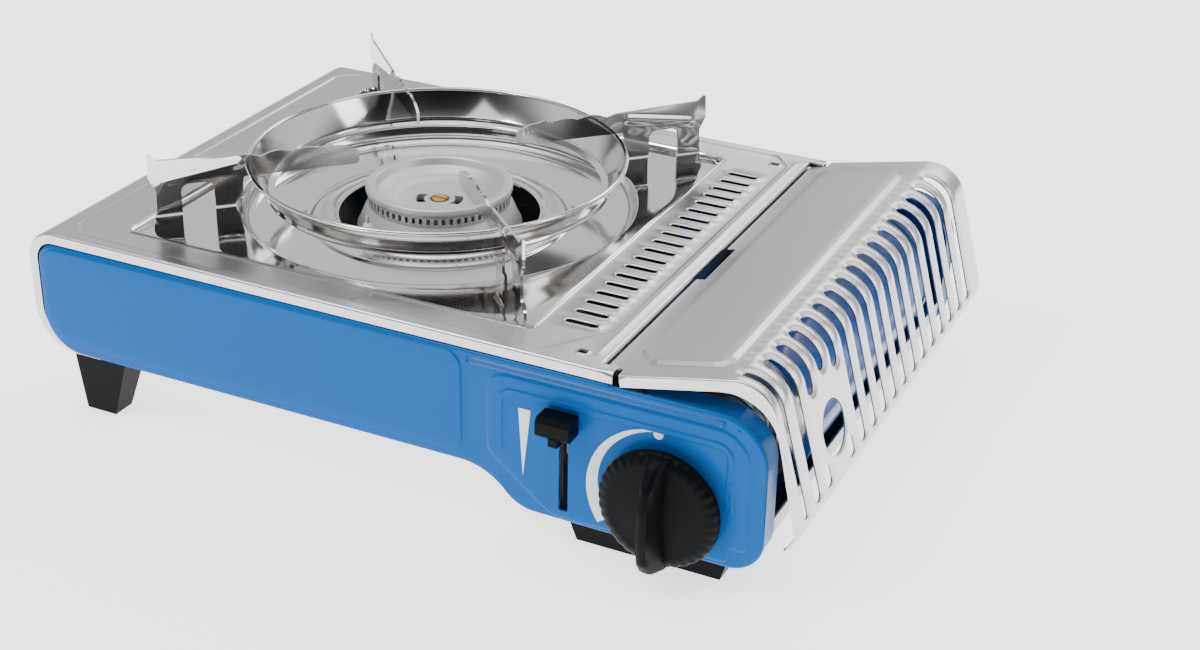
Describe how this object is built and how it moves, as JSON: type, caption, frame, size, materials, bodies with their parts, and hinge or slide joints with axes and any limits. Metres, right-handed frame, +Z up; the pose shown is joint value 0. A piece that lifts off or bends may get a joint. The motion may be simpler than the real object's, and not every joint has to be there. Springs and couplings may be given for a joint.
{
  "type": "camping stove",
  "caption": "Portable cartridge stove: pressed casing with recessed burner, wind ring and pan fins, hinged slotted lid over the gas cartridge, turn knob and lock lever.",
  "frame": {"origin": "on the ground, under the middle of the whole stove with its lid ajar", "axes": "+X from the burner towards the cartridge lid, +Y from the control panel to the back, +Z up"},
  "size_m": [0.3504, 0.2526, 0.1142],
  "materials": {
    "stainless_brushed": "satin, fine brushed grain",
    "stainless_polished": "mirror polished",
    "blue_paint": "gloss enamel",
    "zinc_plate": "plain zinc plate",
    "black_plastic": "fine satin texture",
    "cast_aluminium": "bead-blasted casting",
    "brass": "turned",
    "white_ceramic": "glazed",
    "screw_steel": "bright zinc",
    "lead_sleeve": "silicone sleeve",
    "can_paint": "printed lacquer",
    "can_tinplate": "tinplate"
  },
  "bodies": {
    "casing": {"top_shell": "stainless_brushed", "front_panel": "blue_paint", "rear_panel": "blue_paint", "base_pan": "zinc_plate", "bulkhead": "zinc_plate", "foot_front_left": "black_plastic", "foot_rear_left": "black_plastic", "foot_front_right": "black_plastic", "foot_rear_right": "black_plastic", "foot_screws": "screw_steel", "hinge_lugs": "zinc_plate", "hinge_pins": "screw_steel", "burner_base": "cast_aluminium", "burner_head": "cast_aluminium", "burner_screw": "brass", "burner_bracket": "zinc_plate", "mixing_tube": "zinc_plate", "injector": "brass", "injector_bracket": "zinc_plate", "gas_pipe": "brass", "regulator_body": "cast_aluminium", "regulator_cap": "zinc_plate", "regulator_bracket": "zinc_plate", "regulator_screws": "screw_steel", "piezo_igniter": "black_plastic", "ignition_lead": "lead_sleeve", "electrode_insulator": "white_ceramic", "electrode_pin": "screw_steel", "electrode_bracket": "zinc_plate", "cartridge_saddles": "zinc_plate", "lever_guide": "zinc_plate", "spindle_spring": "screw_steel"},
    "pan_support": {"drip_tray": "stainless_polished", "wind_ring": "stainless_polished", "fin_front_left": "stainless_polished", "fin_rear_left": "stainless_polished", "fin_front_right": "stainless_polished", "fin_rear_right": "stainless_polished"},
    "lid": {"lid": "stainless_brushed"},
    "collar": {"push_collar": "screw_steel"},
    "knob": {"knob": "black_plastic", "valve_spindle": "brass", "igniter_cam": "black_plastic"},
    "lever": {"lever_arm": "zinc_plate", "lever_cap": "black_plastic"},
    "cartridge": {"cartridge_can": "can_paint", "cartridge_dome": "can_tinplate", "cartridge_valve": "brass", "cartridge_hook": "zinc_plate", "hook_pin": "screw_steel"}
  },
  "joints": [
    {"name": "lid_hinge", "type": "hinge", "parent": "casing", "child": "lid", "pos_m": [0.10185, 0.0107, 0.0792], "axis": [0, -1, 0], "range_deg": [-12, 70]},
    {"name": "knob_push", "type": "slide", "parent": "casing", "child": "collar", "axis": [0, 1, 0], "range_m": [0, 0.0025], "stiffness_N_per_m": 1500, "springref_m": -0.001, "deforming": ["spindle_spring"]},
    {"name": "knob_turn", "type": "hinge", "parent": "collar", "child": "knob", "pos_m": [0.12135, -0.0993, 0.034], "axis": [0, -1, 0], "range_deg": [0, 110]},
    {"name": "lever_slide", "type": "slide", "parent": "casing", "child": "lever", "axis": [0, 0, -1], "range_m": [0, 0.026]},
    {"name": "cartridge_lock", "type": "slide", "parent": "casing", "child": "cartridge", "axis": [0, -1, 0], "range_m": [0, 0.004]},
    {"name": "support_lift", "type": "slide", "parent": "casing", "child": "pan_support", "axis": [0, 0, 1], "range_m": [0, 0.06]}
  ],
  "couplings": [
    {"joint": "cartridge_lock", "follows": "lever_slide", "ratio": 0.15385}
  ]
}
